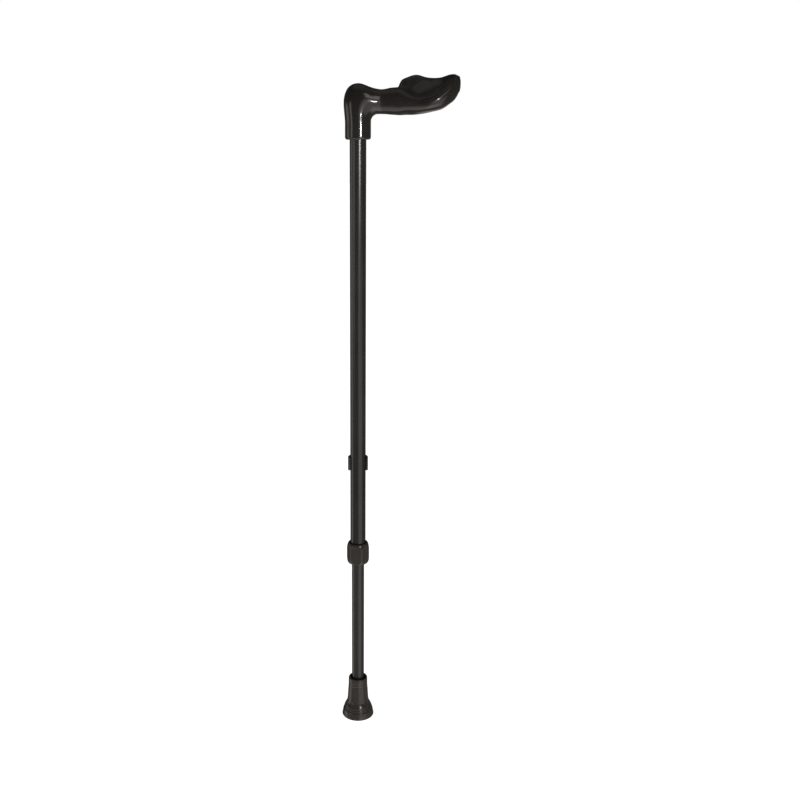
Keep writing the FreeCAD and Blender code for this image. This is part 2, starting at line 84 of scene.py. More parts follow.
# ------------------------------------------------------------------ node helpers
class NodeTree:
    """A tree of shader or geometry nodes, built one node at a time."""

    def __init__(self, tree: bpy.types.NodeTree) -> None:
        """Take the tree that the nodes go into."""
        self.tree = tree

    def feed(self, value: object, socket: Socket) -> None:
        """Link a socket to an input, or set a plain value on it.

        Args:
            value: The socket or plain value.
            socket: The input.
        """
        if isinstance(value, Socket):
            self.tree.links.new(value, socket)
        else:
            socket.default_value = value

    def node(self, kind: str, inputs: dict | None = None, **settings: object) -> bpy.types.Node:
        """Add a node, then link or set its inputs.

        Args:
            kind: The node's full type name.
            inputs: A socket or a plain value for each input, by name or by number.
            settings: The node's own settings.

        Returns:
            The node.
        """
        node = self.tree.nodes.new(kind)
        for name, setting in settings.items():
            setattr(node, name, setting)
        for name, value in (inputs or {}).items():
            self.feed(value, node.inputs[name])
        return node

    def math(self, operation: str, *values: object) -> Socket:
        """Add a Math node and return its result."""
        node = self.node("ShaderNodeMath", dict(enumerate(values)), operation=operation)
        return node.outputs["Value"]

    def split(self, vector: Socket) -> tuple[Socket, ...]:
        """The X, Y and Z of a vector."""
        return tuple(self.node("ShaderNodeSeparateXYZ", {0: vector}).outputs)

    def spread(self, value: Socket, low: float, high: float, start: float = 0.3,
               end: float = 0.7, **settings: object) -> Socket:
        """Map a value onto a range.

        Args:
            value: The value, such as a pattern, which mostly keeps to 0.3 to 0.7.
            low: The result at start.
            high: The result at end.
            start: Where the range starts in the value.
            end: Where the range ends in the value.
            settings: The node's own settings.

        Returns:
            The socket with the mapped value.
        """
        inputs = {"Value": value, "From Min": start, "From Max": end, "To Min": low, "To Max": high}
        return self.node("ShaderNodeMapRange", inputs, **settings).outputs["Result"]

    def colour(self, share: Socket, first: Colour, second: Colour) -> Socket:
        """Mix two colours, from the first at a share of 0 to the second at 1."""
        inputs = {"Factor": share, "A": (*first, 1.0), "B": (*second, 1.0)}
        return self.node("ShaderNodeMix", inputs, data_type="RGBA").outputs["Result"]


@dataclass(frozen=True)
class Grain:
    """A noise pattern.

    Args:
        scale: Waves to a metre.
        detail: How many finer layers lie over the first.
        stretch: The pattern's own factor on each axis.
    """

    scale: float
    detail: float
    stretch: tuple[float, float, float] = (1.0, 1.0, 1.0)


class ShaderTree(NodeTree):
    """A new material whose nodes are added one call at a time."""

    def __init__(self, name: str) -> None:
        """Start a material with a Principled shader.

        Args:
            name: The material's name.
        """
        self.material = bpy.data.materials.new(name)
        self.material.use_nodes = True
        super().__init__(self.material.node_tree)
        self.surface = self.tree.nodes["Principled BSDF"]
        self.place = self.node("ShaderNodeTexCoord").outputs["Object"]

    def set(self, **values: object) -> None:
        """Link or set the shader's own inputs, with _ for a space."""
        for name, value in values.items():
            self.feed(value, self.surface.inputs[name.replace("_", " ")])

    def noise(self, grain: Grain) -> Socket:
        """Add a noise pattern.

        Args:
            grain: The pattern.

        Returns:
            The socket with the noise, from 0 to 1.
        """
        mapping = self.node("ShaderNodeMapping", {"Vector": self.place, "Scale": grain.stretch})
        noise = self.node("ShaderNodeTexNoise", {"Vector": mapping.outputs["Vector"],
                                                 "Scale": grain.scale, "Detail": grain.detail})
        return noise.outputs["Fac"]

    def bump(self, *layers: tuple[Grain, float]) -> None:
        """Raise the surface by patterns.

        Args:
            layers: Each pattern with its height in millimetres.
        """
        below: dict[str, Socket] = {}
        for grain, height in layers:
            inputs = {"Distance": height * MM, "Height": self.noise(grain), **below}
            below = {"Normal": self.node("ShaderNodeBump", inputs).outputs["Normal"]}
        self.set(**below)


class PieceTree(NodeTree):
    """A Geometry Nodes tree with named inputs."""

    def __init__(self, name: str) -> None:
        """Start an empty tree.

        Args:
            name: The tree's name.
        """
        super().__init__(bpy.data.node_groups.new(name, "GeometryNodeTree"))
        self.tree.interface.new_socket("Geometry", in_out="OUTPUT", socket_type="NodeSocketGeometry")
        self.inside = self.node("NodeGroupInput")
        self.outside = self.node("NodeGroupOutput")
        self.sockets: dict[str, str] = {}

    def asks(self, **kinds: str) -> list[Socket]:
        """Add named inputs.

        Args:
            kinds: Each input's name with its kind: Float, Int, Object or Material.

        Returns:
            The sockets that carry the inputs inside the tree.
        """
        for name, kind in kinds.items():
            made = self.tree.interface.new_socket(name, in_out="INPUT", socket_type=f"NodeSocket{kind}")
            self.sockets[name] = made.identifier
        return [self.inside.outputs[name] for name in kinds]

    def position(self) -> Socket:
        """Where each point is."""
        return self.node("GeometryNodeInputPosition").outputs["Position"]

    def joined(self, **parts: object) -> Socket:
        """A vector from its X, Y and Z."""
        return self.node("ShaderNodeCombineXYZ", parts).outputs["Vector"]

    def moved(self, geometry: Socket, **way: Socket) -> Socket:
        """A geometry whose points go to a Position or by an Offset."""
        return self.node("GeometryNodeSetPosition", {"Geometry": geometry, **way}).outputs["Geometry"]

    def end(self, geometry: Socket, material: Socket) -> None:
        """Realize the instances, set the material and lead the result out.

        Args:
            geometry: The tree's result.
            material: The material that it takes.
        """
        real = self.node("GeometryNodeRealizeInstances", {"Geometry": geometry})
        dressed = self.node("GeometryNodeSetMaterial",
                            {"Geometry": real.outputs["Geometry"], "Material": material})
        self.feed(dressed.outputs["Geometry"], self.outside.inputs["Geometry"])

    def make(self, name: str, **values: object) -> bpy.types.Object:
        """Bake the tree into a plain mesh object.

        Args:
            name: The new object's name.
            values: The tree's inputs by name.

        Returns:
            The finished object, at the origin.
        """
        carrier = add_object(f"{name}_carrier", bpy.data.meshes.new(f"{name}_carrier"))
        modifier = carrier.modifiers.new("tree", "NODES")
        modifier.node_group = self.tree
        for asked, value in values.items():
            modifier[self.sockets[asked]] = value
        mesh = modified_mesh(carrier)
        mesh.name = name
        bpy.data.objects.remove(carrier)
        return add_object(name, mesh)


def add_object(name: str, data: bpy.types.ID) -> bpy.types.Object:
    """Put data into the scene as an object at the origin.

    Args:
        name: The object's name.
        data: Its mesh, curve, light or camera.

    Returns:
        The object.
    """
    piece = bpy.data.objects.new(name, data)
    bpy.context.scene.collection.objects.link(piece)
    return piece


def modified_mesh(holder: bpy.types.Object) -> bpy.types.Mesh:
    """The mesh that an object's modifiers make, after which they are removed.

    Args:
        holder: The object.

    Returns:
        The new mesh.
    """
    ready = holder.evaluated_get(bpy.context.evaluated_depsgraph_get())
    mesh = bpy.data.meshes.new_from_object(ready)
    holder.modifiers.clear()
    return mesh


def finish_mesh(mesh: bpy.types.Mesh, sharp: float = 32.0) -> None:
    """Merge doubles, turn the faces outwards and shade smooth.

    Args:
        mesh: The mesh.
        sharp: The angle in degrees over which an edge stays sharp.
    """
    work = bmesh.new()
    work.from_mesh(mesh)
    bmesh.ops.remove_doubles(work, verts=work.verts, dist=MERGE)
    bmesh.ops.dissolve_degenerate(work, edges=work.edges, dist=0.001 * MM)
    bmesh.ops.recalc_face_normals(work, faces=work.faces)
    for face in work.faces:
        face.smooth = True
    work.to_mesh(mesh)
    work.free()
    mesh.set_sharp_from_angle(angle=radians(sharp))


def place_piece(piece: bpy.types.Object, body: Body, slot: Slot, *nodes: str) -> None:
    """Let a finished piece ride on its body and stand for the nodes it replaces.

    Args:
        piece: The finished piece.
        body: The body it moves with.
        slot: The finish it would take; not used.
        nodes: The nodes that it stands for.
    """
    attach(piece, body.value)
    if nodes:
        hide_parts(*nodes)
    triangles = sum(len(p.vertices) - 2 for p in piece.data.polygons)
    log.info("%s: %d triangles on %s", piece.name, triangles, body.value)


# ----------------------------------------------------------------------- finishes
@dataclass(frozen=True)
class Finish:
    """A material with a clouded colour, a patchy sheen and a fine relief.

    Args:
        name: The material's name.
        deep: The cloud's first colour.
        pale: The cloud's second colour.
        cloud: The pattern of the two colours.
        roughness: The least and the greatest roughness.
        sheen: The pattern of the roughness.
        relief: Each pattern of the relief with its height in millimetres.
        shader: Plain numbers for the shader, with _ for a space in a name.
    """

    name: str
    deep: Colour
    pale: Colour
    cloud: Grain
    roughness: tuple[float, float]
    sheen: Grain
    relief: tuple[tuple[Grain, float], ...]
    shader: dict[str, float]

    def share(self, tree: ShaderTree) -> Socket:
        """How much of the pale colour each place takes."""
        return tree.spread(tree.noise(self.cloud), 0.0, 1.0)

    def material(self) -> bpy.types.Material:
        """Build the material."""
        tree = ShaderTree(self.name)
        tree.set(**self.shader, Base_Color=tree.colour(self.share(tree), self.deep, self.pale),
                 Roughness=tree.spread(tree.noise(self.sheen), *self.roughness))
        tree.bump(*self.relief)
        return tree.material


@dataclass(frozen=True)
class ScuffedFinish(Finish):
    """A finish whose pale colour is dust, which gathers in patches towards the sole."""

    dusty_height: float = 5.0

    def share(self, tree: ShaderTree) -> Socket:
        """How much dust lies at each place.

        Args:
            tree: The material's tree.

        Returns:
            The socket with the share, from 0 to 1.
        """
        height = tree.split(tree.place)[2]
        near_sole = tree.spread(height, 1.0, 0.0, 0.5 * MM, self.dusty_height * MM)
        patches = tree.spread(tree.noise(self.cloud), 0.0, 1.0, 0.42, 0.62)
        return tree.math("MULTIPLY", near_sole, patches)


def drawn_tube(name: str, dark: Colour, light: Colour, roughness: tuple[float, float]) -> Finish:
    """Satin black anodised aluminium with the lengthwise lines of the drawing die.

    Args:
        name: The material's name.
        dark: The cloud's first colour.
        light: The cloud's second colour.
        roughness: The least and the greatest roughness.

    Returns:
        The finish.
    """
    lines = Grain(900.0, 3.0, (1.0, 1.0, 0.006))
    return Finish(name, dark, light, Grain(18.0, 3.0), roughness, lines,
                  ((lines, 0.004), (Grain(3200.0, 1.0), 0.0008)),
                  {"IOR": 1.6, "Specular_IOR_Level": 0.6})


def satin_moulding(name: str, deep: Colour, pale: Colour, roughness: tuple[float, float],
                   depth: float) -> Finish:
    """Satin black moulded plastic with a fine spark-eroded grain.

    Args:
        name: The material's name.
        deep: The cloud's first colour.
        pale: The cloud's second colour.
        roughness: The least and the greatest roughness.
        depth: The grain's depth in millimetres.

    Returns:
        The finish.
    """
    return Finish(name, deep, pale, Grain(70.0, 4.0), roughness, Grain(420.0, 3.0),
                  ((Grain(2600.0, 2.0), depth),), {"IOR": 1.5, "Specular_IOR_Level": 0.5})


# Polished, warm-black moulded plastic, with faint flow marks and hand wear.
GRIP_GLOSS = Finish(
    "grip_gloss_black", (0.0135, 0.0120, 0.0105), (0.0200, 0.0180, 0.0160), Grain(34.0, 4.0),
    (0.16, 0.19), Grain(240.0, 6.0, (1.0, 2.4, 1.0)),
    ((Grain(85.0, 1.0), 0.0015), (Grain(1500.0, 2.0), 0.0002)),
    {"IOR": 1.5, "Specular_IOR_Level": 0.5, "Coat_Weight": 0.35, "Coat_Roughness": 0.06})
UPPER_COAT = drawn_tube("upper_tube_satin_black", (0.0165, 0.0152, 0.0145),
                        (0.0240, 0.0225, 0.0215), (0.19, 0.26))
LOWER_COAT = drawn_tube("lower_tube_satin_black", (0.022, 0.0205, 0.019),
                        (0.031, 0.029, 0.027), (0.22, 0.30))
CLIP_SATIN = satin_moulding("clip_satin_black", (0.0200, 0.0190, 0.0175),
                            (0.0290, 0.0275, 0.0255), (0.26, 0.36), 0.006)
NUT_SATIN = satin_moulding("clamp_nut_satin_black", (0.034, 0.031, 0.028),
                           (0.044, 0.040, 0.036), (0.17, 0.23), 0.002)
# Black rubber, a little shiny when clean, scuffed pale towards the sole.
FOOT_RUBBER = ScuffedFinish(
    "foot_rubber_black", (0.0440, 0.0400, 0.0360), (0.0620, 0.0580, 0.0530), Grain(260.0, 5.0),
    (0.13, 0.20), Grain(150.0, 4.0), ((Grain(120.0, 2.0), 0.012), (Grain(1900.0, 3.0), 0.003)),
    {"IOR": 1.52, "Specular_IOR_Level": 0.5})
# Dull black nylon of the hidden bushes and rings.
DULL_NYLON = Finish(
    "nylon_dull_black", (0.012, 0.012, 0.012), (0.024, 0.024, 0.025), Grain(120.0, 3.0),
    (0.48, 0.62), Grain(600.0, 3.0), ((Grain(2200.0, 2.0), 0.006),),
    {"IOR": 1.53, "Specular_IOR_Level": 0.4})
# Zinc-plated steel with a faint warm and cool tint and fine turning marks.
PLATED_STEEL = Finish(
    "steel_zinc_plated", (0.56, 0.54, 0.49), (0.50, 0.52, 0.55), Grain(420.0, 3.0),
    (0.22, 0.38), Grain(1600.0, 4.0), ((Grain(2400.0, 2.0), 0.003),), {"Metallic": 1.0})


# ------------------------------------------------------------------ smooth curves
def spline_through(places: np.ndarray, values: np.ndarray, wanted: np.ndarray) -> np.ndarray:
    """Smooth curve through values, with even curvature at each place.

    Args:
        places: Rising places of the values, shape (n,).
        values: The values, shape (n, ...).
        wanted: The places to read, shape (m,).

    Returns:
        The curve at the wanted places, shape (m, ...).
    """
    count, step = len(places), np.diff(places)
    flat = values.reshape(count, -1)
    slope = np.diff(flat, axis=0) / step[:, None]
    matrix, right = np.eye(count), np.zeros_like(flat)
    for i in range(1, count - 1):
        matrix[i, i - 1:i + 2] = step[i - 1], 2 * (step[i - 1] + step[i]), step[i]
        right[i] = 6 * (slope[i] - slope[i - 1])
    bend = np.linalg.solve(matrix, right)
    at = np.clip(np.searchsorted(places, wanted, side="right") - 1, 0, count - 2)
    wide = step[at][:, None]
    after = (wanted - places[at])[:, None]
    before = wide - after
    curve = (bend[at] * before ** 3 + bend[at + 1] * after ** 3) / (6 * wide)
    curve += (flat[at] / wide - bend[at] * wide / 6) * before
    curve += (flat[at + 1] / wide - bend[at + 1] * wide / 6) * after
    return curve.reshape(len(wanted), *values.shape[1:])


def closed_spline(ring: np.ndarray, count: int) -> np.ndarray:
    """Smooth closed curve through a ring's points, read at count even places.

    Args:
        ring: The ring's points, shape (n, 3).
        count: How many points to read.

    Returns:
        The points, shape (count, 3).
    """
    wrap, points = 6, len(ring)
    places = np.arange(-wrap, points + wrap, dtype=float)
    wrapped = ring[places.astype(int) % points]
    return spline_through(places, wrapped, np.arange(count) * points / count)


def rounded(corners: list[tuple[float, float, float]], steps: int = 8) -> list[Point]:
    """Round the corners of an open outline.

    Args:
        corners: Each corner as (radius, height, rounding).
        steps: Points on each rounded corner.

    Returns:
        The outline's points in order.
    """
    outline: list[Point] = []
    for i, (across, up, rounding) in enumerate(corners):
        here = Vector((across, up))
        if rounding <= 0 or i in (0, len(corners) - 1):
            outline.append((across, up))
            continue
        back = Vector(corners[i - 1][:2]) - here
        on = Vector(corners[i + 1][:2]) - here
        reach = min(rounding, back.length * 0.49, on.length * 0.49)
        start, end = here + back.normalized() * reach, here + on.normalized() * reach
        for k in range(steps + 1):
            t = k / steps
            spot = start * (1 - t) ** 2 + here * 2 * t * (1 - t) + end * t ** 2
            outline.append((spot.x, spot.y))
    return outline


# ----------------------------------------------------------- Geometry Nodes trees
def build_turned_tree() -> PieceTree:
    """Tree that turns an outline about Z and cuts flats round it, with soft edges.

    Each point of the outline becomes a ring. Where a flat lies inside the ring, the
    ring's radius follows the flat, and the two blend over the rounding.
    """
    tree = PieceTree("turned_piece")
    profile, around, flats, distance, turned, rounding, material = tree.asks(
        Profile="Object", Around="Int", Flats="Float", Flat_Distance="Float", Turned="Float",
        Rounding="Float", Material="Material")

    source = tree.node("GeometryNodeObjectInfo", {"Object": profile})
    points = tree.node("GeometryNodeCurveToPoints", {"Curve": source.outputs["Geometry"]},
                       mode="EVALUATED").outputs["Points"]
    count = tree.node("GeometryNodeAttributeDomainSize", {"Geometry": points},
                      component="POINTCLOUD").outputs["Point Count"]
    grid = tree.node("GeometryNodeMeshGrid", {"Size X": 1.0, "Size Y": 1.0, "Vertices Y": count,
                                              "Vertices X": tree.math("ADD", around, 1.0)})
    column, row, _ = tree.split(tree.position())
    along = tree.math("MULTIPLY", tree.math("ADD", row, 0.5), tree.math("SUBTRACT", count, 1.0))
    sample = tree.node("GeometryNodeSampleIndex",
                       {"Geometry": points, "Value": tree.position(),
                        "Index": tree.math("ROUND", along)},
                       data_type="FLOAT_VECTOR", domain="POINT")
    reach, _, height = tree.split(sample.outputs[0])
    angle = tree.math("MULTIPLY", tree.math("ADD", column, 0.5), TURN)
    step = tree.math("DIVIDE", TURN, flats)
    apart = tree.math("SUBTRACT", angle, turned)
    nearest = tree.math("MULTIPLY", tree.math("ROUND", tree.math("DIVIDE", apart, step)), step)
    flat = tree.math("DIVIDE", distance, tree.math("COSINE", tree.math("SUBTRACT", apart, nearest)))
    radius = tree.math("SMOOTH_MIN", reach, flat, rounding)
    place = tree.joined(X=tree.math("MULTIPLY", radius, tree.math("COSINE", angle)),
                        Y=tree.math("MULTIPLY", radius, tree.math("SINE", angle)), Z=height)
    merged = tree.node("GeometryNodeMergeByDistance",
                       {"Geometry": tree.moved(grid.outputs["Mesh"], Position=place),
                        "Distance": MERGE})
    tree.end(merged.outputs["Geometry"], material)
    return tree


def build_hole_row_tree() -> PieceTree:
    """Tree that lays a rolled rim round each hole of a row down a tube's back."""
    tree = PieceTree("hole_rims")
    tube, hole, rim, first, pitch, count, material = tree.asks(
        Tube_Radius="Float", Hole_Radius="Float", Rim_Radius="Float", First_Height="Float",
        Pitch="Float", Count="Int", Material="Material")

    ring = tree.node("GeometryNodeCurvePrimitiveCircle", {"Resolution": 48, "Radius": hole})
    across, up, _ = tree.split(tree.position())
    depth = tree.math("SQRT", tree.math("SUBTRACT", tree.math("MULTIPLY", tube, tube),
                                        tree.math("MULTIPLY", across, across)))
    bent = tree.moved(ring.outputs["Curve"], Position=tree.joined(X=across, Y=depth, Z=up))
    section = tree.node("GeometryNodeCurvePrimitiveCircle", {"Resolution": 10, "Radius": rim})
    swept = tree.node("GeometryNodeCurveToMesh", {"Curve": bent,
                                                  "Profile Curve": section.outputs["Curve"]})
    row = tree.node("GeometryNodeMeshLine", {"Count": count, "Start Location": tree.joined(Z=first),
                                             "Offset": tree.joined(Z=pitch)})
    spread = tree.node("GeometryNodeInstanceOnPoints", {"Points": row.outputs["Mesh"],
                                                        "Instance": swept.outputs["Mesh"]})
    tree.end(spread.outputs["Instances"], material)
    return tree


def build_band_tree() -> PieceTree:
    """Tree that bends a band with rounded edges round a tube, with eased ends."""
    tree = PieceTree("bent_band")
    radius, sweep, height, thickness, edge, middle, flare, material = tree.asks(
        Radius="Float", Sweep="Float", Height="Float", Thickness="Float", Edge="Float",
        Middle_Height="Float", Flare="Float", Material="Material")

    arc = tree.node("GeometryNodeCurveArc",
                    {"Resolution": 97, "Radius": radius, "Sweep Angle": sweep,
                     "Start Angle": tree.math("SUBTRACT", pi / 2, tree.math("DIVIDE", sweep, 2.0))})
    share = tree.node("GeometryNodeSplineParameter").outputs["Factor"]
    away = tree.math("ABSOLUTE", tree.math("SUBTRACT", tree.math("MULTIPLY", share, 2.0), 1.0))
    near_end = tree.spread(away, 0.0, 1.0, 0.86, 1.0)
    eased = tree.math("MULTIPLY", near_end, near_end)
    outward = tree.node("ShaderNodeVectorMath", {0: tree.position()}, operation="NORMALIZE")
    push = tree.node("ShaderNodeVectorMath",
                     {0: outward.outputs["Vector"], "Scale": tree.math("MULTIPLY", eased, flare)},
                     operation="SCALE")
    shift = tree.node("ShaderNodeVectorMath", {0: push.outputs["Vector"], 1: tree.joined(Z=middle)},
                      operation="ADD")
    bent = tree.moved(arc.outputs["Curve"], Offset=shift.outputs["Vector"])
    slim = tree.math("SUBTRACT", 1.0, tree.math("MULTIPLY", tree.math("POWER", near_end, 4.0), 0.16))
    outline = tree.node("GeometryNodeCurvePrimitiveQuadrilateral", {"Width": thickness,
                                                                    "Height": height})
    soft = tree.node("GeometryNodeFilletCurve", {"Curve": outline.outputs["Curve"],
                                                 "Radius": edge, "Count": 6}, mode="POLY")
    swept = tree.node("GeometryNodeCurveToMesh", {"Curve": bent, "Scale": slim, "Fill Caps": True,
                                                  "Profile Curve": soft.outputs["Curve"]})
    tree.end(swept.outputs["Mesh"], material)
    return tree


@dataclass(frozen=True)
class Flats:
    """Flats round a turned piece. As they stand here they lie far out and cut nothing.

    Args:
        count: How many there are.
        distance: How far from the axis they lie, in millimetres.
        turned: How far the first one is turned from +X, in degrees.
        rounding: How softly they meet the barrel, in millimetres.
    """

    count: int = 6
    distance: float = 1000.0
    turned: float = 0.0
    rounding: float = 0.0001


def turn_piece(tree: PieceTree, name: str, outline: list[Point], around: int,
               material: bpy.types.Material, flats: Flats = Flats()) -> bpy.types.Object:
    """Turn an outline about Z into a piece.

    Args:
        tree: The tree that makes turned pieces.
        name: The piece's name.
        outline: The outline's points (radius, height) in millimetres.
        around: How many points lie round the piece.
        material: Its material.
        flats: The flats cut round it.

    Returns:
        The piece.
    """
    curve = bpy.data.curves.new(f"{name}_outline", "CURVE")
    curve.dimensions = "3D"
    line = curve.splines.new("POLY")
    line.points.add(len(outline) - 1)
    for point, (across, up) in zip(line.points, outline):
        point.co = (across * MM, 0.0, up * MM, 1.0)
    profile = add_object(curve.name, curve)
    piece = tree.make(name, Profile=profile, Around=around, Flats=float(flats.count),
                      Flat_Distance=flats.distance * MM, Turned=radians(flats.turned),
                      Rounding=flats.rounding * MM, Material=material)
    bpy.data.objects.remove(profile)
    return piece


# ------------------------------------------------------------------ the palm grip
CORNERS = 16
# The pad's sections: distance behind the stick's axis, then CORNERS points
# (sideways, up), with up counted from the neck's underside. They start on the palm
# ridge and go over the thumb's hollow, its lobe and edge, under the pad and up the
# finger side to the rim and the palm.
PAD_SECTIONS = (
    (43.5, ((1, 33.3), (7, 32.5), (12, 29.9), (15.6, 25), (16.6, 18.7), (15.2, 11.3),
            (11.6, 5), (6.2, 0.8), (0, -0.7), (-6, 0.4), (-11, 3.6), (-14.8, 9.2),
            (-15.9, 16), (-14.6, 22.9), (-11, 28.5), (-5.4, 32.1))),
    (50.0, ((1.5, 33.8), (8, 32.8), (13.5, 31.5), (17.5, 29.1), (19, 23.2), (17.4, 14.9),
            (13.4, 7.3), (7.2, 1.8), (0, -1), (-6.6, 0), (-12, 3.2), (-15.8, 8.8),
            (-17, 16), (-15.8, 23.2), (-12, 28.9), (-5.8, 32.5))),
    (56.0, ((2.5, 34.6), (8.5, 33.3), (14.5, 35.9), (20, 41.3), (24, 38.1), (22.8, 28.6),
            (18, 17.3), (10, 6.1), (0.5, -0.9), (-6.8, -0.3), (-13, 2.9), (-17.4, 8.4),
            (-18.8, 15.6), (-17.4, 22.5), (-13, 28.6), (-5.8, 32.8))),
    (63.0, ((4, 34.3), (10, 32.2), (17.5, 36.8), (24.6, 46), (30, 43.4), (29.4, 33.7),
            (22.6, 21.4), (12, 8.9), (0.5, -0.3), (-7.6, 0.2), (-14.6, 3.3), (-19.2, 8.5),
            (-20.6, 15.1), (-18.8, 21.2), (-13.8, 26.1), (-5.4, 30.9))),
    (70.0, ((6.5, 34.8), (12.5, 32.5), (19.5, 37.5), (27, 48.4), (33.2, 46.4), (32.8, 37.1),
            (24.6, 23.8), (12.6, 10.8), (0.5, 0), (-8.2, 0.2), (-16, 3.2), (-20.8, 8.2),
            (-22.2, 14.4), (-20, 20), (-13.8, 23.8), (-3.8, 29.2))),
    (78.0, ((11, 39.6), (16, 38), (21.8, 41.7), (28, 49.9), (34.8, 48.3), (34.6, 39.6),
            (26, 26.6), (13, 12.6), (0.5, 0.9), (-8.6, 0.3), (-16.8, 2.7), (-22, 7.3),
            (-23.6, 13.4), (-20.6, 19.2), (-13.2, 22.7), (-1, 29.5))),
    (88.0, ((15.5, 43.6), (20.5, 44.2), (25, 45.8), (29.5, 48), (34, 46), (33.4, 38.5),
            (25, 27.1), (12.4, 13.8), (0, 2.3), (-9, 1.7), (-17.6, 3.5), (-23.4, 7.7),
            (-25.2, 13.8), (-22.2, 20), (-13.8, 23.9), (1.5, 32.2))),
    (99.0, ((12.5, 40.1), (18, 43.7), (22.6, 45.9), (27, 46.1), (30.2, 42.3), (28.8, 34.7),
            (21, 25), (10, 14.5), (-1, 5), (-9.6, 3.6), (-17.8, 5.2), (-23.6, 9.6),
            (-25.6, 16.1), (-23, 23), (-14, 26.8), (0.4, 32.5))),
    (110.0, ((8, 39.2), (13, 43.4), (17.2, 46.4), (21.2, 46.8), (24.4, 43), (23.2, 36.1),
            (17, 28.1), (8, 17.3), (-2, 8.2), (-9.4, 6.8), (-16.6, 8.8), (-21.8, 13.6),
            (-23.8, 21.2), (-21.4, 28.7), (-13.4, 31.8), (-1.4, 34.6))),
    (119.0, ((4, 43.4), (8, 46.6), (11.2, 49.2), (14.4, 49.6), (16.8, 46.4), (16, 40.4),
            (12, 32.9), (5.8, 23.1), (-2, 14.4), (-8, 12.8), (-13.8, 15), (-18, 20.1),
            (-19.8, 28.1), (-18, 35.9), (-11.8, 39.4), (-3.4, 40.9))),
    (126.4, ((1.5, 47.6), (3.8, 49.4), (6.2, 50), (8.4, 48.8), (9.6, 45.4), (9, 39.9),
            (6.6, 33.2), (2.6, 25.8), (-2.2, 20.4), (-6.4, 19.4), (-10.2, 21.6), (-13, 26.8),
            (-14, 34.5), (-12.8, 41.7), (-8.4, 45.8), (-3.2, 47.2))),
    (131.0, ((-0.5, 47.6), (1.2, 47.6), (3, 46.6), (4.2, 44.8), (4.6, 41.8), (4, 38),
            (2.6, 33.8), (0.2, 29.9), (-2.4, 27.9), (-4.8, 27.7), (-7, 29.3), (-8.4, 32.7),
            (-8.8, 37.5), (-8, 42.3), (-5.6, 45.8), (-2.8, 47.2))),
)

# The groove inside the rim's bead, as (behind the axis, above the neck's underside).
BEAD_GROOVE = ((70.0, 12.6), (82.0, 15.8), (94.0, 19.3), (103.0, 23.6), (110.5, 28.2),
               (116.0, 33.2), (119.6, 37.9), (122.6, 43.6), (123.6, 47.0))


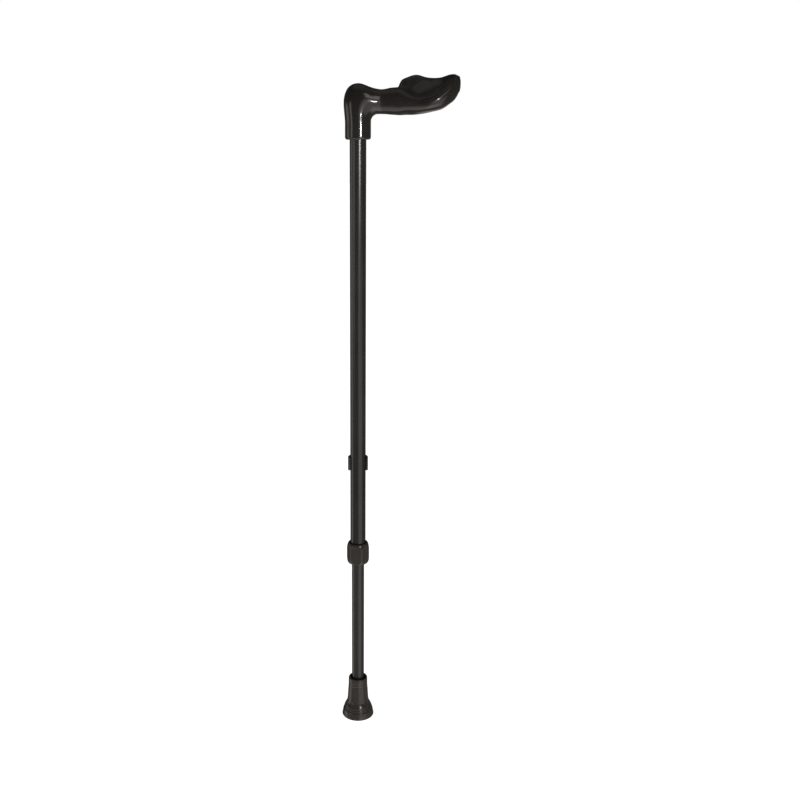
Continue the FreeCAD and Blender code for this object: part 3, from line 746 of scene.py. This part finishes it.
@dataclass
class PalmGrip:
    """The moulded grip: collar, bend, neck and dished palm pad.

    The collar and bend are ovals about the tube and about the bend's centre; the pad
    runs through its own sections. All lengths are millimetres.
    """

    collar: float = 17.1
    collar_edge: float = 3.2
    socket: float = 11.05
    elbow_radius: float = 9.2
    elbow_drop: float = 23.1
    neck_height: float = 31.6
    neck_width: float = 28.0
    screw_rise: float = 12.5
    screw_head: float = 3.6
    screw_seat: float = 14.05
    tip_point: tuple[float, float, float] = (133.1, -2.0, 38.0)
    groove_depth: float = 0.85
    groove_width: float = 1.5
    groove_fade: Point = (0.22, 0.10)
    lip_rise: float = 0.28
    lip_gap: float = 2.4
    around: int = 176
    rings: int = 250
    tip_rings: int = 8
    tip_lean: float = 0.85
    finish: Finish = GRIP_GLOSS

    def __post_init__(self) -> None:
        """Read the grip's lower edge and its socket's depth from the frame."""
        self.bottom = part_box("handle_grip")[0].z / MM
        self.socket_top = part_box("tube_plug")[1].z / MM
        self.underside = self.bottom + self.elbow_drop + self.elbow_radius

    def fan(self) -> list[np.ndarray]:
        """Sections of the collar and the bend, each sixteen points."""
        wide, neck = 2 * self.collar, self.neck_width
        centre = np.array([self.collar + self.elbow_radius, 0.0, self.bottom + self.elbow_drop])
        sections = [self.oval(np.array([0.0, 0.0, self.bottom + rise]), 180.0, wide, wide, 0.0)
                    for rise in (self.collar_edge, 9.0, 15.5)]
        fan = ((176.0, 34.5, 34.2), (160.0, 38.5, 34.2), (145.0, 44.9, 34.6), (130.0, 48.7, 34.4),
               (117.0, 44.6, 33.0), (104.0, 35.7, neck + 2.4), (90.0, self.neck_height, neck))
        for turn, height, width in fan:
            sections.append(self.oval(centre, turn, height, width, self.elbow_radius + height / 2))
        neck_end = np.array([34.6, 0.0, self.underside])
        sections.append(self.oval(neck_end, 90.0, self.neck_height, neck, self.neck_height / 2))
        return sections

    @staticmethod
    def oval(centre: np.ndarray, turn: float, height: float, width: float,
             middle: float) -> np.ndarray:
        """Sixteen points round an oval.

        Args:
            centre: The point that the oval's middle is measured from.
            turn: Direction of outward, in degrees from +X towards +Z.
            height: The oval's size along outward.
            width: The oval's size along Y.
            middle: How far outward the oval's middle is.

        Returns:
            The points, shape (16, 3), from the outermost one.
        """
        out = np.array([cos(radians(turn)), 0.0, sin(radians(turn))])
        side = np.array([0.0, 1.0, 0.0])
        corners = [k * TURN / CORNERS for k in range(CORNERS)]
        return np.array([centre + out * (middle + height / 2 * cos(t)) + side * width / 2 * sin(t)
                         for t in corners])

    def sections(self) -> np.ndarray:
        """All control sections from the collar to the tip, shape (n, 16, 3)."""
        rings = self.fan()
        for behind, points in PAD_SECTIONS:
            rings.append(np.array([(behind, side, self.underside + up) for side, up in points]))
        return np.array(rings)

    def surface(self) -> np.ndarray:
        """The grip's outer skin as rings of points, shape (rings, around, 3)."""
        control = self.sections()
        travel = np.linalg.norm(np.diff(control, axis=0), axis=2).mean(axis=1)
        places = np.concatenate([[0.0], np.cumsum(travel)])
        wanted = np.linspace(0.0, places[-1], self.rings)
        lengthwise = spline_through(places, control, wanted)
        log.info("grip spine runs over %.0f mm", places[-1])
        return np.array([closed_spline(ring, self.around) for ring in lengthwise])

    def carve(self, skin: np.ndarray) -> np.ndarray:
        """Press the groove inside the rim's bead into the finger side of the skin.

        Args:
            skin: The skin's rings.

        Returns:
            The skin with its groove.
        """
        line = np.array(BEAD_GROOVE) + [0.0, self.underside]
        share = np.linspace(0.0, 1.0, len(line))
        fine_share = np.linspace(0.0, 1.0, 240)
        fine = spline_through(share, line, fine_share)
        along = np.gradient(skin, axis=0)
        across = np.roll(skin, -1, axis=1) - np.roll(skin, 1, axis=1)
        normal = np.cross(across, along)
        normal /= np.maximum(np.linalg.norm(normal, axis=2, keepdims=True), 1e-9)
        if (normal[2, 0] @ np.array([-1.0, 0.0, 0.0])) < 0:
            normal = -normal
        flat = skin[..., [0, 2]].reshape(-1, 2)
        gaps = np.linalg.norm(flat[:, None, :] - fine[None, :, :], axis=2)
        nearest = gaps.argmin(axis=1)
        gap = gaps.min(axis=1).reshape(skin.shape[:2])
        where = fine_share[nearest].reshape(skin.shape[:2])
        facing = np.clip(-normal[..., 1] * 3.0, 0.0, 1.0)
        start, end = self.groove_fade
        fade = np.clip(where / start, 0.0, 1.0) * np.clip((1.0 - where) / end, 0.0, 1.0)
        press = np.exp(-(gap / self.groove_width) ** 2)
        lips = np.exp(-((gap - self.lip_gap * self.groove_width) / self.groove_width) ** 2)
        amount = (self.lip_rise * lips - press) * self.groove_depth * facing * fade
        return skin + normal * amount[..., None]

    def lower_rings(self) -> list[np.ndarray]:
        """Rings from the top of the socket down and round the collar's lower edge."""
        floor, edge = self.bottom, self.collar_edge
        spots = [(self.socket, self.socket_top), (self.socket, floor + 0.6),
                 (self.socket + 0.5, floor + 0.05), (self.socket + 0.9, floor)]
        inner = self.collar - edge
        spots += [(inner + edge * sin(t), floor + edge * (1 - cos(t)))
                  for t in (k * pi / 2 / 10 for k in range(10))]
        turns = np.arange(self.around) * TURN / self.around
        return [np.stack([-radius * np.cos(turns), radius * np.sin(turns),
                          np.full(self.around, up)], axis=1) for radius, up in spots]

    def mesh(self) -> bpy.types.Mesh:
        """The grip's closed mesh: socket, collar, skin and rounded tip."""
        skin = self.carve(self.surface())
        tip = np.array(self.tip_point) + [0.0, 0.0, self.underside]
        last = skin[-1]
        closing = []
        for k in range(self.tip_rings):
            t = (k + 1) / (self.tip_rings + 1)
            shrink = sqrt(1 - t ** 2)
            reach = t * self.tip_lean + (1 - self.tip_lean) * (1 - shrink)
            ring = tip + (last - tip) * [1, shrink, shrink]
            ring[:, 0] = last[:, 0] + (tip[0] - last[:, 0]) * reach
            closing.append(ring)
        rings = [*self.lower_rings(), *skin, *closing]
        count = self.around
        points = np.concatenate([*rings, [[0.0, 0.0, self.socket_top]], [tip]]) * MM
        faces = [(i * count + j, i * count + (j + 1) % count,
                  (i + 1) * count + (j + 1) % count, (i + 1) * count + j)
                 for i in range(len(rings) - 1) for j in range(count)]
        socket_pole, tip_pole = len(points) - 2, len(points) - 1
        end = (len(rings) - 1) * count
        faces += [(socket_pole, (j + 1) % count, j) for j in range(count)]
        faces += [(tip_pole, end + j, end + (j + 1) % count) for j in range(count)]
        mesh = bpy.data.meshes.new("palm_grip")
        mesh.from_pydata(points.tolist(), [], faces)
        return mesh

    def bore_screw_hole(self, grip: bpy.types.Object) -> None:
        """Sink the counterbore for the screw's head into the collar's back.

        Args:
            grip: The grip's object.
        """
        work = bmesh.new()
        far = self.collar + 3.0
        bmesh.ops.create_cone(work, cap_ends=True, segments=48, radius1=self.screw_head * MM,
                              radius2=self.screw_head * MM, depth=(far - self.screw_seat) * MM)
        turn = Matrix.Rotation(pi / 2, 4, "X")
        middle = Vector((0.0, (far + self.screw_seat) / 2, self.bottom + self.screw_rise)) * MM
        bmesh.ops.transform(work, matrix=Matrix.Translation(middle) @ turn, verts=work.verts)
        bit = add_object("screw_bit", bpy.data.meshes.new("screw_bit"))
        work.to_mesh(bit.data)
        work.free()
        cut = grip.modifiers.new("counterbore", "BOOLEAN")
        cut.operation, cut.solver, cut.object = "DIFFERENCE", "EXACT", bit
        grip.data = modified_mesh(grip)
        bpy.data.objects.remove(bit)

    def build(self) -> None:
        """Make the grip, bore it, dress it and put it on the upper stick."""
        mesh = self.mesh()
        finish_mesh(mesh, 40.0)
        grip = add_object("palm_grip", mesh)
        self.bore_screw_hole(grip)
        finish_mesh(grip.data, 40.0)
        grip.data.name = "palm_grip"
        grip.data.materials.clear()
        grip.data.materials.append(self.finish.material())
        place_piece(grip, Body.UPPER, Slot.GRIP, "handle_grip")


# ---------------------------------------------------------------------- the tubes
@dataclass
class Tubes:
    """The two telescoping tubes and the rolled rims of the height holes."""

    hole_radius: float = 3.35
    rim_radius: float = 0.16
    rim_sink: float = 0.08
    lowest_hole: float = 242.0
    pitch: float = 20.0
    holes: int = 13

    def build(self) -> None:
        """Dress both tubes and lay the rims round the lower tube's holes."""
        lower_finish = LOWER_COAT.material()
        dress_node("upper_tube", UPPER_COAT.material())
        dress_node("lower_tube", lower_finish)
        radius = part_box("lower_tube")[1].x
        rims = build_hole_row_tree().make(
            "height_hole_rims", Tube_Radius=radius - self.rim_sink * MM,
            Hole_Radius=self.hole_radius * MM, Rim_Radius=self.rim_radius * MM,
            First_Height=self.lowest_hole * MM, Pitch=self.pitch * MM, Count=self.holes,
            Material=lower_finish)
        finish_mesh(rims.data)
        place_piece(rims, Body.LOWER, Slot.LOWER_TUBE)


def dress_node(node: str, material: bpy.types.Material) -> None:
    """Give a node of the frame a material of its own.

    Args:
        node: The node's name.
        material: Its new material.
    """
    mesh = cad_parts[node].data
    if mesh.materials:
        for i in range(len(mesh.materials)):
            mesh.materials[i] = material
    else:
        mesh.materials.append(material)
    log.info("%s: dressed in %s", node, material.name)


# ----------------------------------------------------------------------- the clip
@dataclass
class HeightClip:
    """The springy C-band and its button; the steel peg is dressed with the inner pieces."""

    edge: float = 0.9
    flare: float = 0.35
    wrap: float = 228.0
    play: float = 0.15
    button_radius: float = 6.0
    button_around: int = 72

    def build(self, turned: PieceTree) -> None:
        """Make the band and its button, join them and put them on the clip's body.

        Args:
            turned: The tree that makes turned pieces.
        """
        low, high = (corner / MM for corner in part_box("clip_band"))
        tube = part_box("upper_tube")[1].x / MM
        outer, inner = high.x, tube + self.play
        middle = (low.z + high.z) / 2
        material = CLIP_SATIN.material()
        band = build_band_tree().make(
            "clip_c_band", Radius=(outer + inner) / 2 * MM, Sweep=radians(self.wrap),
            Height=(high.z - low.z) * MM, Thickness=(outer - inner) * MM, Edge=self.edge * MM,
            Middle_Height=middle * MM, Flare=self.flare * MM, Material=material)
        finish_mesh(band.data, 50.0)
        start, end, radius = outer - 1.2, high.y, self.button_radius
        outline = rounded([(0.0, start, 0), (radius + 0.9, start, 0), (radius + 0.35, start + 1.0, 1.0),
                           (radius, end, 1.1), (radius - 1.6, end, 0.5), (radius - 2.0, end - 0.35, 0.3),
                           (0.0, end - 0.1, 0)])
        button = turn_piece(turned, "clip_button", outline, self.button_around, material)
        lay_back = Matrix.Translation((0.0, 0.0, middle * MM)) @ Matrix.Rotation(-pi / 2, 4, "X")
        button.data.transform(lay_back)
        finish_mesh(button.data, 40.0)
        join_into(band, button)
        place_piece(band, Body.CLIP, Slot.CLIP, "clip_band")


def join_into(piece: bpy.types.Object, other: bpy.types.Object) -> None:
    """Add another piece's mesh to a piece and remove the other.

    Args:
        piece: The piece that grows.
        other: The piece that is added.
    """
    work = bmesh.new()
    work.from_mesh(piece.data)
    work.from_mesh(other.data)
    work.to_mesh(piece.data)
    work.free()
    bpy.data.objects.remove(other)


# ---------------------------------------------------------------------- the clamp
@dataclass
class ClampNut:
    """The barrel-shaped nut: a turned barrel with six soft-edged finger flats."""

    flats: int = 6
    turned: float = 20.0
    widest: float = 16.3
    bore: float = 12.55
    clear: float = 9.35
    flat_inside: float = 2.15
    rounding: float = 0.30
    heel: float = 8.0
    shoulder: float = 12.0
    crown: float = 1.3
    around: int = 216

    def outline(self) -> list[Point]:
        """The nut's closed outline: heel, barrel, shoulder, mouth, bore and floor."""
        low, high = (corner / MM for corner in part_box("clamp_nut"))
        bottom, top = low.z, high.z
        ring_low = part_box("clamp_ring")[0].z / MM
        widest, bore, clear = self.widest, self.bore, self.clear
        mouth, foot, brow = bore + 0.35, clear + 4.2, top + self.crown
        steps = [k / 14 for k in range(15)]
        barrel = [(foot + (widest - foot) * sin(t * pi / 2) ** 0.8,
                   bottom + self.heel * (1 - cos(t * pi / 2))) for t in steps]
        shoulder = [(mouth + (widest - mouth) * cos(t * pi / 2),
                     brow - self.shoulder * (1 - sin(t * pi / 2))) for t in steps]
        inside = rounded([(mouth, brow, 0), (bore + 0.1, brow, 0), (bore, top - 0.5, 0.2),
                          (bore, ring_low, 0.2), (clear, ring_low, 0.2), (clear, bottom + 0.5, 0),
                          (clear + 0.4, bottom, 0.2), (foot, bottom, 0)], 3)
        waist = [(widest, bottom + self.heel + (brow - self.shoulder - bottom - self.heel) * t)
                 for t in (0.25, 0.5, 0.75)]
        return [*barrel, *waist, *shoulder, *inside[1:]]

    def build(self, turned: PieceTree) -> None:
        """Make the nut and put it on its body.

        Args:
            turned: The tree that makes turned pieces.
        """
        outline = self.outline()
        flats = Flats(self.flats, self.bore + self.flat_inside, self.turned, self.rounding)
        nut = turn_piece(turned, "clamp_nut_barrel", [*outline, outline[0]], self.around,
                         NUT_SATIN.material(), flats)
        finish_mesh(nut.data, 38.0)
        place_piece(nut, Body.NUT, Slot.CLAMP, "clamp_nut")


# --------------------------------------------------------------------- the ferrule
@dataclass
class Ferrule:
    """The rubber foot: bell-mouth, ringed neck, cone, shoulder, beads and tread."""

    tube_radius: float = 9.0
    socket_floor: float = 8.0
    grooves: tuple[float, ...] = (6.3, 13.6)
    around: int = 160

    def outline(self) -> list[Point]:
        """The ferrule's outline from the middle of the sole to the socket's floor."""
        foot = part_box("ferrule")[1].x / MM
        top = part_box("ferrule")[1].z / MM
        socket, floor = self.tube_radius, self.socket_floor
        tread = []
        for inner in self.grooves:
            tread += [(inner, 0.0, 0), (inner + 0.5, 1.2, 0.3), (inner + 2.1, 1.2, 0.3),
                      (inner + 2.6, 0.0, 0.3)]
        skirt = [(foot - 0.7, 0.0, 0.5), (foot, 0.9, 0.6), (foot - 0.15, 2.2, 0.5),
                 (foot - 0.45, 2.6, 0.2), (foot - 0.35, 3.0, 0.2), (foot - 0.6, 4.6, 0.4),
                 (foot - 0.9, 4.9, 0.2), (foot - 0.8, 5.3, 0.2), (foot - 1.5, 9.2, 0.9),
                 (foot - 1.9, 10.6, 0.7), (foot - 3.1, 11.2, 0.35), (foot - 3.1, 12.0, 0.35),
                 (foot - 2.7, 12.5, 0.4), (foot - 3.0, 14.0, 0.6), (foot - 3.9, 14.6, 0.4),
                 (foot - 4.0, 15.2, 0.4)]
        shoulder = [(foot - 3.8, 15.9, 0.5), (foot - 4.9, 18.2, 2.0), (foot - 6.6, 21.2, 2.0),
                    (foot - 7.6, 23.6, 1.2)]
        neck = [(foot - 8.2, 28.0, 3.0), (foot - 9.2, 44.0, 3.0), (14.15, 49.4, 0.6),
                (13.85, 50.0, 0.3), (13.85, 50.5, 0.3), (14.15, 51.1, 0.6), (14.1, 53.6, 0.6),
                (13.75, 54.2, 0.3), (13.75, 54.7, 0.3), (14.1, 55.3, 0.6)]
        mouth = [(14.0, top - 1.4, 1.2), (13.3, top, 0.8), (socket + 2.9, top, 0.6),
                 (socket + 2.0, top - 1.0, 0.9), (socket + 0.35, top - 6.0, 1.2),
                 (socket, top - 8.0, 0.5), (socket, floor, 0), (0.0, floor, 0)]
        return rounded([(0.0, 0.0, 0), *tread, *skirt, *shoulder, *neck, *mouth], 5)

    def build(self, turned: PieceTree) -> None:
        """Make the ferrule and put it on the lower stick.

        Args:
            turned: The tree that makes turned pieces.
        """
        foot = turn_piece(turned, "rubber_ferrule", self.outline(), self.around,
                          FOOT_RUBBER.material())
        finish_mesh(foot.data, 42.0)
        place_piece(foot, Body.LOWER, Slot.RUBBER, "ferrule")


# ------------------------------------------------------------------ inner pieces
@dataclass
class InnerPieces:
    """The bushes, rings, peg, screw and washer, which keep their own shapes."""

    nylon: tuple[str, ...] = ("tube_plug", "clamp_sleeve", "clamp_ring", "guide_bush")
    steel: tuple[str, ...] = ("handle_screw", "clip_peg", "ferrule_washer")

    def build(self) -> None:
        """Dress the inner pieces."""
        for nodes, finish in ((self.nylon, DULL_NYLON), (self.steel, PLATED_STEEL)):
            material = finish.material()
            for node in nodes:
                dress_node(node, material)


# ---------------------------------------------------------------------- the studio
ROOM_TINT: Colour = (1.0, 0.94, 0.88)
BACKDROP_TINT: Colour = (1.0, 1.0, 1.0)


@dataclass(frozen=True)
class Softbox:
    """One rectangular studio light.

    Args:
        name: The light's name.
        place: Where it stands, in metres.
        target: The point it faces.
        size: Its width and height.
        power: Its power in watts.
    """

    name: str
    place: tuple[float, float, float]
    target: tuple[float, float, float]
    size: tuple[float, float]
    power: float

    def build(self) -> None:
        """Set the light up."""
        light = bpy.data.lights.new(self.name, "AREA")
        light.shape, light.size, light.size_y = "RECTANGLE", *self.size
        light.energy = self.power
        stand = add_object(self.name, light)
        stand.location = self.place
        way = Vector(self.target) - Vector(self.place)
        stand.rotation_euler = way.to_track_quat("-Z", "Y").to_euler()


@dataclass(frozen=True)
class Glow:
    """A soft-edged bright patch of the room, as the object reflects it.

    Args:
        around: Where it begins and ends around the upright, in degrees to the right of
            the camera as seen from the object.
        rise: Where it begins and ends above the horizon, in degrees.
        strength: How bright it is beside the white backdrop.
        blur: How wide its soft edges are, in degrees.
    """

    around: tuple[float, float]
    rise: tuple[float, float]
    strength: float
    blur: float


class RoomTree(NodeTree):
    """The world shader: a dim room with bright patches and a white backdrop."""

    def __init__(self, name: str) -> None:
        """Start an empty world.

        Args:
            name: The world's name.
        """
        self.world = bpy.data.worlds.new(name)
        self.world.use_nodes = True
        super().__init__(self.world.node_tree)
        self.tree.nodes.clear()
        right, ahead, up = self.split(self.node("ShaderNodeTexCoord").outputs["Generated"])
        self.around = self.math("ARCTAN2", right, self.math("MULTIPLY", ahead, -1.0))
        self.rise = self.math("ARCSINE", up)

    def step(self, value: Socket, edge: float, blur: float) -> Socket:
        """Rise smoothly from 0 to 1 across an edge.

        Args:
            value: An angle.
            edge: The angle of the edge, in degrees.
            blur: The width of the rise, in degrees.

        Returns:
            The risen value.
        """
        start, end = radians(edge - blur / 2), radians(edge + blur / 2)
        return self.spread(value, 0.0, 1.0, start, end, interpolation_type="SMOOTHSTEP")

    def glow(self, patch: Glow) -> Socket:
        """Shape one bright patch.

        Args:
            patch: The patch.

        Returns:
            Its brightness.
        """
        share: object = patch.strength
        for angle, (low, high) in ((self.around, patch.around), (self.rise, patch.rise)):
            beyond = self.math("SUBTRACT", 1.0, self.step(angle, high, patch.blur))
            share = self.math("MULTIPLY", share, self.step(angle, low, patch.blur))
            share = self.math("MULTIPLY", share, beyond)
        return share

    def build(self, dim: float, patches: tuple[Glow, ...]) -> None:
        """Join everything up and put the world round the scene.

        Args:
            dim: The room's brightness between the patches.
            patches: The bright patches.
        """
        total: object = dim
        for patch in patches:
            total = self.math("ADD", total, self.glow(patch))
        seen = self.node("ShaderNodeLightPath").outputs["Is Camera Ray"]
        unseen = self.math("MULTIPLY", total, self.math("SUBTRACT", 1.0, seen))
        sky = self.node("ShaderNodeBackground",
                        {"Color": self.colour(seen, ROOM_TINT, BACKDROP_TINT),
                         "Strength": self.math("ADD", unseen, seen)})
        self.node("ShaderNodeOutputWorld", {"Surface": sky.outputs["Background"]})
        bpy.context.scene.world = self.world


@dataclass
class Studio:
    """The pale floor, the lights and the camera."""

    floor_size: float = 30.0
    lens: float = 45.9
    sensor: float = 36.0
    far: float = 100.0
    eye: tuple[float, float, float] = (0.0, -1.384, 0.866)
    pitch: float = 75.0
    shift: float = 0.0525
    dim: float = 0.05
    glows: tuple[Glow, ...] = (
        Glow((8.0, 64.0), (-95.0, -9.0), 0.60, 10.0),
        Glow((-114.0, -82.0), (-95.0, 2.0), 0.75, 8.0),
        Glow((6.0, 22.0), (-11.0, 8.0), 0.5, 6.0),
        Glow((-66.0, -52.0), (-11.0, 8.0), 1.3, 6.0),
        Glow((-95.0, 95.0), (-120.0, -46.0), 0.75, 34.0),
        Glow((-190.0, 190.0), (62.0, 120.0), 0.17, 26.0),
        Glow((150.0, 176.0), (-44.0, 20.0), 0.30, 8.0),
        Glow((12.0, 34.0), (15.0, 42.0), 1.6, 6.0),
    )
    lights: tuple[Softbox, ...] = (
        Softbox("key_small", (0.65, -1.42, 0.853), (0.0, 0.0, 0.80), (0.10, 0.045), 4.0),
    )

    def floor(self) -> None:
        """Lay the floor."""
        work = bmesh.new()
        bmesh.ops.create_grid(work, x_segments=1, y_segments=1, size=self.floor_size / 2)
        mesh = bpy.data.meshes.new("studio_floor")
        work.to_mesh(mesh)
        work.free()
        floor = add_object("studio_floor", mesh)
        tree = ShaderTree("studio_floor_white")
        tree.set(Roughness=0.9, Specular_IOR_Level=0.1, Base_Color=(0.9, 0.9, 0.9, 1.0),
                 Emission_Strength=1.0, Emission_Color=(1.0, 1.0, 1.0, 1.0))
        mesh.materials.append(tree.material)
        floor.visible_glossy = False
        floor.visible_shadow = False

    def camera(self) -> None:
        """Set the camera up."""
        data = bpy.data.cameras.new("studio_camera")
        data.lens, data.sensor_width = self.lens, self.sensor
        data.shift_x = self.shift
        data.clip_end = self.far
        camera = add_object("studio_camera", data)
        camera.location = self.eye
        camera.rotation_euler = (radians(self.pitch), 0.0, 0.0)
        bpy.context.scene.camera = camera

    def build(self) -> None:
        """Set up the whole studio."""
        self.floor()
        RoomTree("studio_room").build(self.dim, self.glows)
        self.camera()
        for light in self.lights:
            light.build()
        bpy.context.scene.view_settings.view_transform = "Standard"


# -------------------------------------------------------------------------- build
def main() -> None:
    """Build every sub-assembly, then the studio."""
    logging.basicConfig(level=logging.INFO, format="%(message)s")
    turned = build_turned_tree()
    PalmGrip().build()
    Tubes().build()
    HeightClip().build(turned)
    ClampNut().build(turned)
    Ferrule().build(turned)
    InnerPieces().build()
    Studio().build()


if __name__ == "__main__":
    main()
